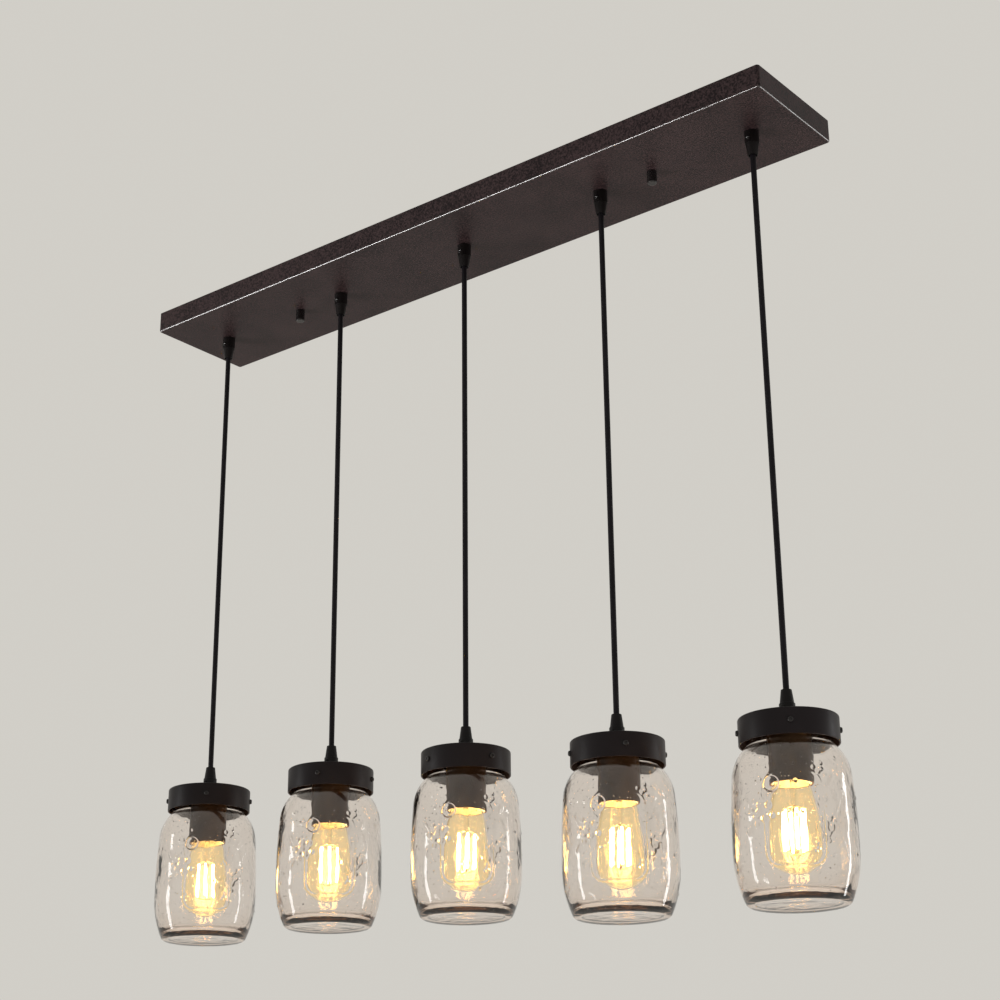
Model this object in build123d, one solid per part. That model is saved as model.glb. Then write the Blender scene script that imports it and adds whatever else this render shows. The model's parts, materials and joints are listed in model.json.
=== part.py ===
from build123d import *
import math
import os

# A linear chandelier: a shallow steel canopy on the ceiling and five glass jars below it,
# each on its own black cord, with a screw-in filament lamp inside.
# Millimetres. The origin is at the middle of the crossbar's ceiling face, +X along the
# canopy, +Z up. Depths below a jar's cap are positive downwards.

# Canopy: a pan folded from sheet, open towards the ceiling
canopy_end_margin = 52.0
canopy_width = 138.0
canopy_height = 25.0
canopy_wall = 1.5
canopy_corner_radius = 3.0
canopy_edge_radius = 1.8
least_radius = 0.2

# Pendants along the canopy's middle line, first one at -X
pendant_count = 5
pendant_spacing = 190.0
cap_top_drops = (593.0, 598.0, 608.0, 627.0, 636.0)

# Crossbar: a strip with its ends stepped down to leave room for the stud heads
crossbar_width = 34.0
crossbar_thickness = 2.0
crossbar_step = 6.0
crossbar_step_start = 205.0
crossbar_end_margin = 17.0
box_slot_spacing = 84.0
box_slot_length = 30.0
box_slot_width = 5.0
wire_hole_radius = 10.0

# Studs and the nuts on them
stud_spacing = 514.0
stud_radius = 2.5
stud_head_radius = 4.6
stud_head_height = 3.4
stud_reach_in_nut = 11.0
stud_nut_flats = 8.0
stud_nut_height = 4.0
cap_nut_radius = 5.2
cap_nut_height = 14.0
cap_nut_dome = 1.2
stud_head_round = 1.1
thread_clearance = 0.15

# Ground screw in the crossbar
ground_screw_x = 66.0
ground_screw_y = 10.0
ground_screw_radius = 2.0
ground_screw_head_radius = 4.2
ground_screw_head_height = 2.6
ground_screw_head_round = 0.9

# Cord and cord grips
cord_radius = 2.9
grip_collar_radius = 7.5
grip_collar_height = 14.0
grip_taper_height = 13.0
grip_taper_start_radius = 6.7
grip_tip_radius = 5.0
grip_spigot_radius = 4.9
grip_spigot_length = 8.0
grip_nut_flats = 14.0
grip_nut_height = 3.0
cord_bore_clearance = 0.2

# Rubber bushing in a canopy grip, on which its cord swings: the ring tilts fore and aft in
# its chamber, and the cord tilts to the sides in the ring
swing_height = 5.0
swing_fore_angle = 12.0
swing_side_angle = 5.0
bushing_radius = 4.4
bushing_height = 3.2
bushing_clearance = 0.3
bushing_flare = 6.0
mouth_start_radius = 3.8
mouth_end_radius = 4.5
cord_end_taper = 2.0
cord_end_radius = 1.2

# Jar cap: a spun cup held on the jar by four screws under the jar's bead
cap_radius = 46.0
cap_height = 24.5
cap_wall = 1.5
cap_edge_radius = 1.6
cap_screw_count = 4
cap_screw_radius = 1.5
cap_screw_head_radius = 2.8
cap_screw_head_height = 2.2
cap_screw_head_round = 1.4
cap_twists = (43.0, 26.0, 74.0, 45.0, 33.0)

# Jar
jar_below_cap = 144.0
jar_neck_radius = 39.5
jar_bead_radius = 42.6
jar_bead_corner = 1.5
jar_neck_show = 1.5
jar_body_radius = 56.0
jar_widest_depth = 112.0
jar_barrel_radius = 700.0
jar_shoulder_length = 28.0
jar_heel_length = 44.0
jar_foot_width = 5.0
jar_foot_height = 3.5
jar_base_radius = 42.0
jar_wall = 3.2
jar_floor = 7.0
jar_push_up = 1.6

# Lamp holder
holder_radius = 20.2
holder_length = 59.3
holder_mouth_wall = 1.6
holder_mouth_length = 11.0
socket_depth = 24.0
socket_clearance = 0.4

# Lamp
base_radius = 13.0
base_length = 23.0
base_top_length = 3.0
base_wall = 1.0
contact_radius = 4.5
contact_height = 1.0
insulator_radius = 10.6
lamp_radius = 23.8
lamp_neck_radius = 17.2
lamp_neck_length = 9.2
lamp_tip_depth = 144.5
lamp_wall = 1.1
filament_top_depth = 84.0
filament_length = 37.0
filament_radius = 1.0
filament_count = 6
filament_circle_radius = 9.5
filament_arm_width = 1.4
filament_arm_height = 1.0
stem_top_radius = 6.0
stem_radius = 2.2
stem_flare_length = 6.0

# Terminal block and the cord tails in the canopy
terminal_length = 42.0
terminal_width = 20.0
terminal_height = 14.0
terminal_y = 44.0
terminal_corner = 1.0
terminal_hole_radius = 3.3
terminal_hole_depth = 4.0
tail_turn_y = 22.0
tail_slope = 0.1
tail_ceiling_gap = 3.4
tail_floor_gap = 0.4
tail_lane_offset = 4.6
tail_side_step = 14.0
tail_front_step = 6.0
tail_radii = (7.0, 7.0, 10.0)
middle_tail_radii = (7.0, 6.0, 5.0)
tail_end_gap = 0.3

# Clearances shared by pieces that seat on each other
seat_gap = 0.3
moving_gap = 0.3
hole_clearance = 0.25
cutter_overrun = 1.0

# Round stretches of turned outlines are drawn as this many straight flats each
corner_flat_count = 3
shoulder_flat_count = 4
barrel_flat_count = 2
heel_flat_count = 3
dish_flat_count = 4
lamp_side_flat_count = 3
lamp_end_flat_count = 6

# Places worked out from the sizes above
pendant_xs = [(i - (pendant_count - 1) / 2) * pendant_spacing for i in range(pendant_count)]
canopy_length = pendant_xs[-1] - pendant_xs[0] + 2 * canopy_end_margin
canopy_floor_z = canopy_wall - canopy_height
grip_tip_z = -canopy_height - grip_collar_height - grip_taper_height
swing_z = grip_tip_z + swing_height
crossbar_length = stud_spacing + 2 * crossbar_end_margin
crossbar_end_top = -crossbar_step
grip_bore_radius = cord_radius + cord_bore_clearance
bushing_rim_radius = math.sqrt(bushing_radius ** 2 - (bushing_height / 2) ** 2)
fore_tilt = math.radians(swing_fore_angle)
cord_tilt = math.hypot(fore_tilt, math.radians(swing_side_angle))
chamber_half = (bushing_height / 2 * math.cos(fore_tilt) + bushing_rim_radius
                * math.sin(fore_tilt) + bushing_clearance)
cord_end_rise = cord_end_taper * math.cos(cord_tilt) + cord_end_radius * math.sin(cord_tilt)
spigot_hole_radius = grip_spigot_radius + hole_clearance
holder_top_depth = cap_wall
holder_bottom_depth = holder_top_depth + holder_length
socket_radius = base_radius + socket_clearance
socket_bottom_depth = holder_bottom_depth - holder_mouth_length
socket_top_depth = socket_bottom_depth - socket_depth
base_top_depth = socket_top_depth + seat_gap
base_end_depth = base_top_depth + base_top_length + base_length
glass_top_depth = base_end_depth + moving_gap
jar_top_depth = cap_wall + seat_gap
jar_bottom_depth = cap_height + jar_below_cap
screw_depth = cap_height / 2
bead_bottom_depth = screw_depth - cap_screw_radius - seat_gap

LOW = (Align.CENTER, Align.CENTER, Align.MAX)
HIGH = (Align.CENTER, Align.CENTER, Align.MIN)


def turned(points):
    """A solid of revolution about Z from a closed outline of (radius, z) points."""
    return revolve(Plane.XZ * make_face(Polyline(*points, close=True)), axis=Axis.Z)


def arc_points(centre, radius, start, end, flat_count):
    """Points on an arc, from a start to an end angle in degrees, one for each end of a flat."""
    angles = [math.radians(start + (end - start) * k / flat_count) for k in range(flat_count + 1)]
    return [(centre[0] + radius * math.cos(a), centre[1] + radius * math.sin(a)) for a in angles]


def arc_from(start, heading, end, flat_count):
    """Points from start to end on the arc that leaves start in the heading's direction."""
    chord_x, chord_z = end[0] - start[0], end[1] - start[1]
    aim, chord_aim = math.atan2(heading[1], heading[0]), math.atan2(chord_z, chord_x)
    half_turn = math.remainder(chord_aim - aim, 2 * math.pi)
    radius = math.hypot(chord_x, chord_z) / (2 * math.sin(half_turn))
    centre = (start[0] - radius * math.sin(aim), start[1] + radius * math.cos(aim))
    first = math.degrees(math.atan2(start[1] - centre[1], start[0] - centre[0]))
    last = first + math.degrees(2 * half_turn)
    return arc_points(centre, abs(radius), first, last, flat_count)


def hanging_cylinder(radius, height, top_z):
    return Pos(0, 0, top_z) * Cylinder(radius, height, align=LOW)


def hexagon_nut(flats, height, bore_radius, bottom_z):
    blank = extrude(RegularPolygon(flats / 2, 6, major_radius=False), amount=height)
    nut = Pos(0, 0, bottom_z) * blank
    return nut - Pos(0, 0, bottom_z) * Cylinder(bore_radius, height, align=HIGH)


def write(name, *solids):
    shape = solids[0] if len(solids) == 1 else Compound(children=list(solids))
    shape.label = name
    export_step(shape, f"parts/{name}.step")


def stud_places():
    return [(-stud_spacing / 2, 0), (stud_spacing / 2, 0)]


def make_canopy():
    """A folded pan with a hole for each cord grip and each stud."""
    outer = extrude(RectangleRounded(canopy_length, canopy_width, canopy_corner_radius),
                    amount=-canopy_height)
    outer = fillet(outer.faces().sort_by(Axis.Z)[0].edges(), canopy_edge_radius)
    inner_radius = max(canopy_corner_radius - canopy_wall, least_radius)
    inner = extrude(RectangleRounded(canopy_length - 2 * canopy_wall,
                                     canopy_width - 2 * canopy_wall, inner_radius),
                    amount=canopy_floor_z)
    inner_edge = max(canopy_edge_radius - canopy_wall, least_radius)
    inner = fillet(inner.faces().sort_by(Axis.Z)[0].edges(), inner_edge)
    pan = outer - inner
    through = canopy_height + cutter_overrun
    for x in pendant_xs:
        pan -= Pos(x, 0, 0) * hanging_cylinder(spigot_hole_radius, through, 0)
    for x, y in stud_places():
        pan -= Pos(x, y, 0) * hanging_cylinder(stud_radius + hole_clearance, through, 0)
    return pan


def make_crossbar():
    """A strip with joggled ends, slots for the ceiling box's screws and tapped stud holes."""
    half = crossbar_length / 2
    ramp_end = crossbar_step_start + crossbar_step
    t = crossbar_thickness
    top = [(-half, crossbar_end_top), (-ramp_end, crossbar_end_top), (-crossbar_step_start, 0),
           (crossbar_step_start, 0), (ramp_end, crossbar_end_top), (half, crossbar_end_top)]
    strip = Polyline(*top, *[(x, z - t) for x, z in reversed(top)], close=True)
    bar = extrude(Plane.XZ * make_face(strip), amount=crossbar_width / 2, both=True)
    cutter = extrude(SlotOverall(box_slot_length, box_slot_width), amount=crossbar_step, both=True)
    for side in (-1, 1):
        bar -= Pos(side * box_slot_spacing / 2, 0, 0) * cutter
    bar -= Cylinder(wire_hole_radius, 4 * t)
    bar -= Pos(ground_screw_x, ground_screw_y, 0) * Cylinder(
        ground_screw_radius + thread_clearance, 4 * t)
    for x, y in stud_places():
        bar -= Pos(x, y, crossbar_end_top) * Cylinder(stud_radius + thread_clearance, 4 * t)
    return bar


def domed_head(radius, height, rounding):
    """The outline of a round head on z = 0, rounded at its top, from the axis to the axis."""
    centre = (radius - rounding, height - rounding)
    return [(0, 0), (radius, 0), *arc_points(centre, rounding, 0, 90, corner_flat_count), (0, height)]


def make_stud():
    """A long machine screw, head up, through the crossbar's stepped end."""
    end_z = -canopy_height - stud_reach_in_nut
    head = turned(domed_head(stud_head_radius, stud_head_height, stud_head_round))
    shank = Pos(0, 0, end_z) * Cylinder(stud_radius, crossbar_end_top - end_z, align=HIGH)
    return Pos(0, 0, crossbar_end_top) * head + shank


def make_cap_nut():
    """A tall round nut under the canopy, with a blind threaded bore."""
    nut = turned([(r, -z) for r, z in domed_head(cap_nut_radius, cap_nut_height, cap_nut_dome)])
    bore = hanging_cylinder(stud_radius + thread_clearance, stud_reach_in_nut + seat_gap, 0)
    return Pos(0, 0, -canopy_height) * (nut - bore)


def make_ground_screw():
    outline = domed_head(ground_screw_head_radius, ground_screw_head_height,
                         ground_screw_head_round)
    head = Pos(0, 0, -crossbar_thickness) * turned([(r, -z) for r, z in outline])
    shank = hanging_cylinder(ground_screw_radius, crossbar_thickness, 0)
    return head + shank


def make_canopy_grip():
    """A cord grip hanging under the canopy, with the bushing's chamber and a flared mouth."""
    top = -canopy_height
    taper_z = top - grip_collar_height
    spigot_top = canopy_floor_z + grip_spigot_length
    body = turned([
        (0, spigot_top), (grip_spigot_radius, spigot_top), (grip_spigot_radius, top),
        (grip_collar_radius, top), (grip_collar_radius, taper_z),
        (grip_taper_start_radius, taper_z), (grip_tip_radius, grip_tip_z), (0, grip_tip_z)])
    chamber = bushing_radius + bushing_clearance
    high, low = swing_z + chamber_half, swing_z - chamber_half
    hollow = turned([
        (0, spigot_top), (grip_bore_radius, spigot_top), (grip_bore_radius, high),
        (chamber, high), (chamber, low), (mouth_start_radius, low),
        (mouth_end_radius, grip_tip_z), (0, grip_tip_z)])
    return body - hollow


def make_bushing():
    """A rubber ring with a ball-like outside, centred on the cord's swing point."""
    half = bushing_height / 2
    tilt = math.degrees(math.asin(half / bushing_radius))
    bore = cord_radius + bushing_clearance
    flare = bore + half * math.tan(math.radians(bushing_flare))
    ball = arc_points((0, 0), bushing_radius, tilt, -tilt, corner_flat_count)
    ring = turned([(bore, half), *ball, (flare, -half), (bore, 0)])
    return Pos(0, 0, swing_z) * ring


def make_cord(cap_top_z):
    """A straight cord from its swing point down into the jar's grip, with a blunt upper end."""
    end_z = cap_top_z + seat_gap
    return turned([(0, end_z), (cord_radius, end_z), (cord_radius, swing_z),
                   (cord_end_radius, swing_z + cord_end_taper), (0, swing_z + cord_end_taper)])


def make_jar_grip():
    """The same grip turned over on a jar's cap, its spigot holding cap and lamp holder."""
    taper_z = grip_collar_height
    tip_z = grip_collar_height + grip_taper_height
    body = turned([
        (0, -grip_spigot_length), (grip_spigot_radius, -grip_spigot_length),
        (grip_spigot_radius, 0), (grip_collar_radius, 0), (grip_collar_radius, taper_z),
        (grip_taper_start_radius, taper_z), (grip_tip_radius, tip_z), (0, tip_z)])
    bore_length = grip_spigot_length + tip_z
    return body - Pos(0, 0, -grip_spigot_length) * Cylinder(
        grip_bore_radius, bore_length, align=HIGH)


def screw_angles(twist):
    return [twist + 360 / cap_screw_count * k for k in range(cap_screw_count)]


def radial_plane(angle, radius, depth):
    """A plane square to a radius of the cap, facing outwards."""
    a = math.radians(angle)
    direction = (math.cos(a), math.sin(a), 0)
    return Plane(origin=(radius * direction[0], radius * direction[1], -depth), z_dir=direction)


def make_jar_cap(twist):
    """A spun cup with a rounded shoulder, a spigot hole and four screw holes."""
    inside = cap_radius - cap_wall
    shoulder = arc_points((cap_radius - cap_edge_radius, -cap_edge_radius), cap_edge_radius,
                          90, 0, corner_flat_count)
    cup = turned([(spigot_hole_radius, 0), *shoulder, (cap_radius, -cap_height),
                  (inside, -cap_height), (inside, -cap_wall), (spigot_hole_radius, -cap_wall)])
    for angle in screw_angles(twist):
        drill = radial_plane(angle, cap_radius + cutter_overrun, screw_depth)
        cup -= drill * Cylinder(cap_screw_radius + hole_clearance,
                                cap_wall + 2 * cutter_overrun, align=LOW)
    return cup


def make_cap_screw(angle):
    """A button-head screw whose shank ends just short of the jar's neck."""
    reach = cap_radius - jar_neck_radius - seat_gap
    head = turned(domed_head(cap_screw_head_radius, cap_screw_head_height, cap_screw_head_round))
    screw = head + hanging_cylinder(cap_screw_radius, reach, 0)
    return radial_plane(angle, cap_radius, screw_depth) * screw


def jar_side(inset, end_radius, end_depth):
    """The side from neck to base as four arcs: a shoulder and a heel, each running smoothly
    into a long barrel arc, and a small foot. It is moved in by a wall thickness for the inside."""
    top = cap_height + jar_neck_show
    barrel = jar_barrel_radius - inset
    centre = (jar_body_radius - jar_barrel_radius, -jar_widest_depth)
    rise = jar_widest_depth - top - jar_shoulder_length
    drop = jar_bottom_depth - jar_heel_length - jar_widest_depth
    high_angle = math.degrees(math.asin(rise / barrel))
    low_angle = -math.degrees(math.asin(drop / barrel))
    side = arc_points(centre, barrel, high_angle, low_angle, barrel_flat_count)
    high, low = side[0], side[-1]
    shoulder = arc_from(high, (centre[1] - high[1], high[0] - centre[0]),
                        (jar_neck_radius - inset, -top), shoulder_flat_count)
    foot = arc_from((end_radius, -end_depth), (1, 0),
                    (end_radius + jar_foot_width, jar_foot_height - end_depth), corner_flat_count)
    heel = arc_from(low, (low[1] - centre[1], centre[0] - low[0]), foot[-1], heel_flat_count)
    return shoulder[::-1] + side[1:] + heel[1:-1] + foot[::-1]


def make_jar():
    """A pressed glass jar: bead, neck, round shoulder, barrel body, small foot and thick floor."""
    mouth = jar_neck_radius - jar_wall
    corner = jar_bead_corner
    top = -jar_top_depth
    bead_low = -bead_bottom_depth
    base_z = -jar_bottom_depth
    inner_base = jar_base_radius - jar_wall
    floor_depth = jar_bottom_depth - jar_floor
    bead = arc_points((jar_bead_radius - corner, top - corner), corner, 90, 0, corner_flat_count)
    dish_radius = (jar_base_radius ** 2 + jar_push_up ** 2) / (2 * jar_push_up)
    dish_edge = 90 - math.degrees(math.asin(jar_base_radius / dish_radius))
    dish = arc_points((0, base_z + jar_push_up - dish_radius), dish_radius, dish_edge, 90,
                      dish_flat_count)
    return turned([(mouth, top), *bead, (jar_bead_radius, bead_low + corner),
                   (jar_neck_radius, bead_low), *jar_side(0, jar_base_radius, jar_bottom_depth),
                   *dish[1:], (0, -floor_depth),
                   *jar_side(jar_wall, inner_base, floor_depth)[::-1]])


def make_lamp_holder():
    """A tube with a closed top, a socket for the lamp's base and a wider mouth."""
    top = -holder_top_depth
    seat = -grip_spigot_length - seat_gap
    socket_top, socket_low = -socket_top_depth, -socket_bottom_depth
    mouth = holder_radius - holder_mouth_wall
    low = -holder_bottom_depth
    return turned([(spigot_hole_radius, top), (holder_radius, top), (holder_radius, low),
                   (mouth, low), (mouth, socket_low), (socket_radius, socket_low),
                   (socket_radius, socket_top), (0, socket_top), (0, seat),
                   (spigot_hole_radius, seat)])


def make_bulb_base():
    """A thin screw base drawn plain, with a sloped insulator and a centre contact."""
    top = -base_top_depth
    shell_top = top - base_top_length
    inside = base_radius - base_wall
    return turned([(0, top), (contact_radius, top), (contact_radius, top - contact_height),
                   (insulator_radius, shell_top), (base_radius, shell_top - contact_height),
                   (base_radius, -base_end_depth), (inside, -base_end_depth),
                   (inside, shell_top - contact_height), (0, shell_top - contact_height)])


def lamp_side(inset):
    """The lamp's side from its seat to its tip, moved in by a wall thickness: a sloped neck, a
    long arc to the widest place and a round end."""
    seat = (base_radius - inset, -glass_top_depth)
    neck = (lamp_neck_radius - inset, -glass_top_depth - lamp_neck_length)
    radius = lamp_radius - inset
    widest = (radius, lamp_radius - lamp_tip_depth)
    side = arc_from(widest, (0, 1), neck, lamp_side_flat_count)
    end = arc_points((0, widest[1]), radius, 0, -90, lamp_end_flat_count)
    return [seat, *side[::-1], *end[1:-1], (0, widest[1] - radius)]


def make_bulb_glass():
    """A thin pear-shaped envelope, open at the base."""
    return turned(lamp_side(0) + lamp_side(lamp_wall)[::-1])


def make_filament():
    """A glass stem and a cage of upright light filaments, held by wire arms above and below."""
    flare = glass_top_depth + stem_flare_length
    low = filament_top_depth + filament_length
    lamp = turned([(0, -glass_top_depth), (stem_top_radius, -glass_top_depth),
                   (stem_radius, -flare), (stem_radius, -filament_top_depth),
                   (filament_arm_width / 2, -filament_top_depth),
                   (filament_arm_width / 2, -low), (0, -low)])
    arm = Box(filament_circle_radius + filament_radius, filament_arm_width, filament_arm_height,
              align=(Align.MIN, Align.CENTER, Align.MIN))
    rod = Pos(filament_circle_radius, 0, 0) * hanging_cylinder(
        filament_radius, filament_length, -filament_top_depth)
    for k in range(filament_count):
        turn = Rot(0, 0, 360 / filament_count * k)
        lamp += turn * rod
        lamp += turn * Pos(0, 0, -filament_top_depth) * arm
        lamp += turn * Pos(0, 0, -low - filament_arm_height) * arm
    return lamp


def make_terminal_block():
    """A moulded block on the canopy's floor with an entry for each cord tail."""
    block = Pos(0, terminal_y, canopy_floor_z) * Box(
        terminal_length, terminal_width, terminal_height, align=HIGH)
    block = chamfer(block.edges().filter_by(Axis.Z), terminal_corner)
    entry_z = canopy_floor_z + cord_radius + tail_floor_gap
    for side in (-1, 1):
        for lane in (-1, 1):
            mouth = Plane(origin=(side * terminal_length / 2, terminal_y + lane * tail_lane_offset,
                                  entry_z), z_dir=(side, 0, 0))
            block -= mouth * Cylinder(terminal_hole_radius, terminal_hole_depth, align=LOW)
    front = Plane(origin=(0, terminal_y - terminal_width / 2, entry_z), z_dir=(0, -1, 0))
    block -= front * Cylinder(terminal_hole_radius, terminal_hole_depth, align=LOW)
    return block


def make_tail(index):
    """A cord's tail: up through its grip, over, down to the canopy's floor and to the block."""
    x = pendant_xs[index]
    side = -1 if x < 0 else 1
    middle = (pendant_count - 1) // 2
    low_z = canopy_floor_z + cord_radius + tail_floor_gap
    high_z = -crossbar_thickness - tail_ceiling_gap
    start = (x, 0, swing_z + cord_end_rise + seat_gap)
    over = [(x, 0, high_z), (x, tail_turn_y, high_z + tail_slope)]
    if index == middle:
        entry_y = terminal_y - terminal_width / 2 + terminal_hole_depth - tail_end_gap
        points = [start, *over, (x, entry_y - tail_front_step, low_z), (x, entry_y, low_z)]
        radii = middle_tail_radii
    else:
        lane = -1 if abs(index - middle) == 2 else 1
        lane_y = terminal_y + lane * tail_lane_offset
        end_x = side * (terminal_length / 2 - terminal_hole_depth + tail_end_gap)
        points = [start, *over, (x - side * tail_side_step, lane_y, low_z), (end_x, lane_y, low_z)]
        radii = tail_radii
    print(f"tail {index + 1}: bend radii {radii} mm")
    path = FilletPolyline(*points, radius=list(radii))
    section = Plane(origin=start, z_dir=(0, 0, 1)) * Circle(cord_radius)
    return sweep(section, path=path)


def main():
    os.makedirs("parts", exist_ok=True)
    write("canopy", make_canopy())
    write("crossbar", make_crossbar())
    write("crossbar_studs", *[Pos(x, y, 0) * make_stud() for x, y in stud_places()])
    nut_z = crossbar_end_top - crossbar_thickness - stud_nut_height
    write("stud_nuts", *[Pos(x, y, 0) * hexagon_nut(
        stud_nut_flats, stud_nut_height, stud_radius + thread_clearance, nut_z)
        for x, y in stud_places()])
    write("cap_nuts", *[Pos(x, y, 0) * make_cap_nut() for x, y in stud_places()])
    write("ground_screw", Pos(ground_screw_x, ground_screw_y, 0) * make_ground_screw())
    write("canopy_grips", *[Pos(x, 0, 0) * make_canopy_grip() for x in pendant_xs])
    write("grip_nuts", *[Pos(x, 0, 0) * hexagon_nut(
        grip_nut_flats, grip_nut_height, grip_spigot_radius + thread_clearance, canopy_floor_z)
        for x in pendant_xs])
    write("terminal_block", make_terminal_block())
    write("cord_tails", *[make_tail(i) for i in range(pendant_count)])
    for number, (x, drop, twist) in enumerate(zip(pendant_xs, cap_top_drops, cap_twists), 1):
        at_swing = Pos(x, 0, 0)
        at_cap = Pos(x, 0, -drop)
        write(f"cord_bushing_{number}", at_swing * make_bushing())
        write(f"cord_{number}", at_swing * make_cord(-drop))
        write(f"jar_grip_{number}", at_cap * make_jar_grip())
        write(f"jar_cap_{number}", at_cap * make_jar_cap(twist))
        write(f"cap_screws_{number}", *[at_cap * make_cap_screw(a) for a in screw_angles(twist)])
        write(f"lamp_holder_{number}", at_cap * make_lamp_holder())
        write(f"jar_{number}", at_cap * make_jar())
        write(f"bulb_base_{number}", at_cap * make_bulb_base())
        write(f"bulb_glass_{number}", at_cap * make_bulb_glass())
        write(f"filament_{number}", at_cap * make_filament())


main()
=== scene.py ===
import json
import math
import bpy
import bmesh
import numpy as np
from mathutils import Matrix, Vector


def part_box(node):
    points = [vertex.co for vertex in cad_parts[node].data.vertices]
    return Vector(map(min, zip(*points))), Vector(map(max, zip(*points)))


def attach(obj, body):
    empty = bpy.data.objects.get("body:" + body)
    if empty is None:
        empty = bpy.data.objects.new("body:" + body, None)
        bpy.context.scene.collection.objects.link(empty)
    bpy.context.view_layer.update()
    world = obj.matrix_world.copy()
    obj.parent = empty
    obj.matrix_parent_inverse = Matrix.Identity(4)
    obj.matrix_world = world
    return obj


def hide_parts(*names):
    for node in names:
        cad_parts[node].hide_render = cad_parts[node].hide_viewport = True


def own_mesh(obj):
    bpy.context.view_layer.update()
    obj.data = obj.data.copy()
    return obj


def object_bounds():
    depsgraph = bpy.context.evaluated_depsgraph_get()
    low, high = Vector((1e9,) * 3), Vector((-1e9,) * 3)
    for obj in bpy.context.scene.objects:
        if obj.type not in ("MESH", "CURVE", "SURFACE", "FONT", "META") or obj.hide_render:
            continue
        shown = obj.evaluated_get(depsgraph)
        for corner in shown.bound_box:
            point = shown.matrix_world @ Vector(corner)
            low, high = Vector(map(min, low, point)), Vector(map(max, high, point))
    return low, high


# A linear chandelier: five glass jars with lit lamps under a long bronze canopy.
# Metres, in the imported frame: +X along the canopy, +Z up, the ceiling at z = 0.
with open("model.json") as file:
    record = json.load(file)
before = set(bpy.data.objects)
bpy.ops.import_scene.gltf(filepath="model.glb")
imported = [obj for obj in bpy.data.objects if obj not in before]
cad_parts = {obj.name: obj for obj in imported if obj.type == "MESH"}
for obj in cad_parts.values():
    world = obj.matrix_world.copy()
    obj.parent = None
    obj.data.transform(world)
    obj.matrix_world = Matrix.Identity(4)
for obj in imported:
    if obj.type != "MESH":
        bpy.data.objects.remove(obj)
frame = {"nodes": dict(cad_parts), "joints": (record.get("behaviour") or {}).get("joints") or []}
cadLow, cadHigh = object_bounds()
pendantNumbers = range(1, 6)
shared = {"turnSegments": 96, "seatGap": 0.0003, "nearPoint": 1e-7}


def centreOf(node):
    # The middle of a node's box in plan, with its lowest and highest z
    low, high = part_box(node)
    return (low.x + high.x) / 2, (low.y + high.y) / 2, low.z, high.z


def jointNamed(name):
    return next(joint for joint in frame["joints"] if joint["name"] == name)


def newObject(name, data):
    thing = bpy.data.objects.new(name, data)
    bpy.context.scene.collection.objects.link(thing)
    return thing


# Surfaces from grids of points

def gridQuads(rows, columns, wrapRows, wrapColumns, offset):
    # Each quad joins point (i, j) with its neighbours (i + 1, j + 1). A wrapped direction also
    # joins its last line to its first.
    i = np.arange(rows if wrapRows else rows - 1)[:, None]
    j = np.arange(columns if wrapColumns else columns - 1)[None, :]
    nextI, nextJ = (i + 1) % rows, (j + 1) % columns
    corners = [i * columns + j, i * columns + nextJ, nextI * columns + nextJ, nextI * columns + j]
    return np.stack([np.broadcast_to(c, (len(i), j.shape[1])) for c in corners], -1).reshape(-1, 4) + offset


def makePiece(name, grids, material, body, replaced=(), sharpAngle=40.0):
    # One mesh from several grids, each a (points, wrapRows, wrapColumns) triple. Points that
    # meet are merged, which closes poles, and faces are turned outwards.
    points, quads, offset = [], [], 0
    for grid, wrapRows, wrapColumns in grids:
        rows, columns = grid.shape[:2]
        points.append(grid.reshape(-1, 3))
        quads.append(gridQuads(rows, columns, wrapRows, wrapColumns, offset))
        offset += rows * columns
    points, quads = np.concatenate(points), np.concatenate(quads)
    mesh = bpy.data.meshes.new(name)
    mesh.vertices.add(len(points))
    mesh.vertices.foreach_set("co", points.astype(np.float32).ravel())
    mesh.loops.add(quads.size)
    mesh.loops.foreach_set("vertex_index", quads.astype(np.int32).ravel())
    mesh.polygons.add(len(quads))
    mesh.polygons.foreach_set("loop_start", np.arange(0, quads.size, 4, dtype=np.int32))
    mesh.update(calc_edges=True)
    work = bmesh.new()
    work.from_mesh(mesh)
    bmesh.ops.remove_doubles(work, verts=work.verts, dist=shared["nearPoint"])
    bmesh.ops.recalc_face_normals(work, faces=work.faces)
    work.to_mesh(mesh)
    work.free()
    mesh.shade_smooth()
    mesh.set_sharp_from_angle(angle=math.radians(sharpAngle))
    piece = newObject(name, mesh)
    mesh.materials.append(material)
    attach(piece, body)
    if replaced:
        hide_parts(*replaced)
    return piece


def roundedProfile(corners, steps=6, closed=False):
    # Corners are (radius from the axis, z, fillet). A fillet becomes an arc tangent to both
    # sides: its centre lies on the corner's bisector, at fillet / sin(half the corner's angle)
    line, count = [], len(corners)
    places = np.array([c[:2] for c in corners], float)
    for k, (_, _, fillet) in enumerate(corners):
        isEnd = not closed and k in (0, count - 1)
        if fillet <= 0 or isEnd:
            line.append(places[k:k + 1])
            continue
        back = places[k - 1] - places[k]
        ahead = places[(k + 1) % count] - places[k]
        back, ahead = back / np.linalg.norm(back), ahead / np.linalg.norm(ahead)
        half = math.acos(np.clip(back @ ahead, -1, 1)) / 2
        middle = (back + ahead) / np.linalg.norm(back + ahead)
        centre = places[k] + middle * fillet / math.sin(half)
        start = places[k] + back * fillet / math.tan(half) - centre
        end = places[k] + ahead * fillet / math.tan(half) - centre
        sweep = math.pi - 2 * half
        share = np.linspace(0, 1, steps + 1)[:, None]
        line.append(centre + (np.sin((1 - share) * sweep) * start + np.sin(share * sweep) * end)
                    / math.sin(sweep))
    return np.concatenate(line)


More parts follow.
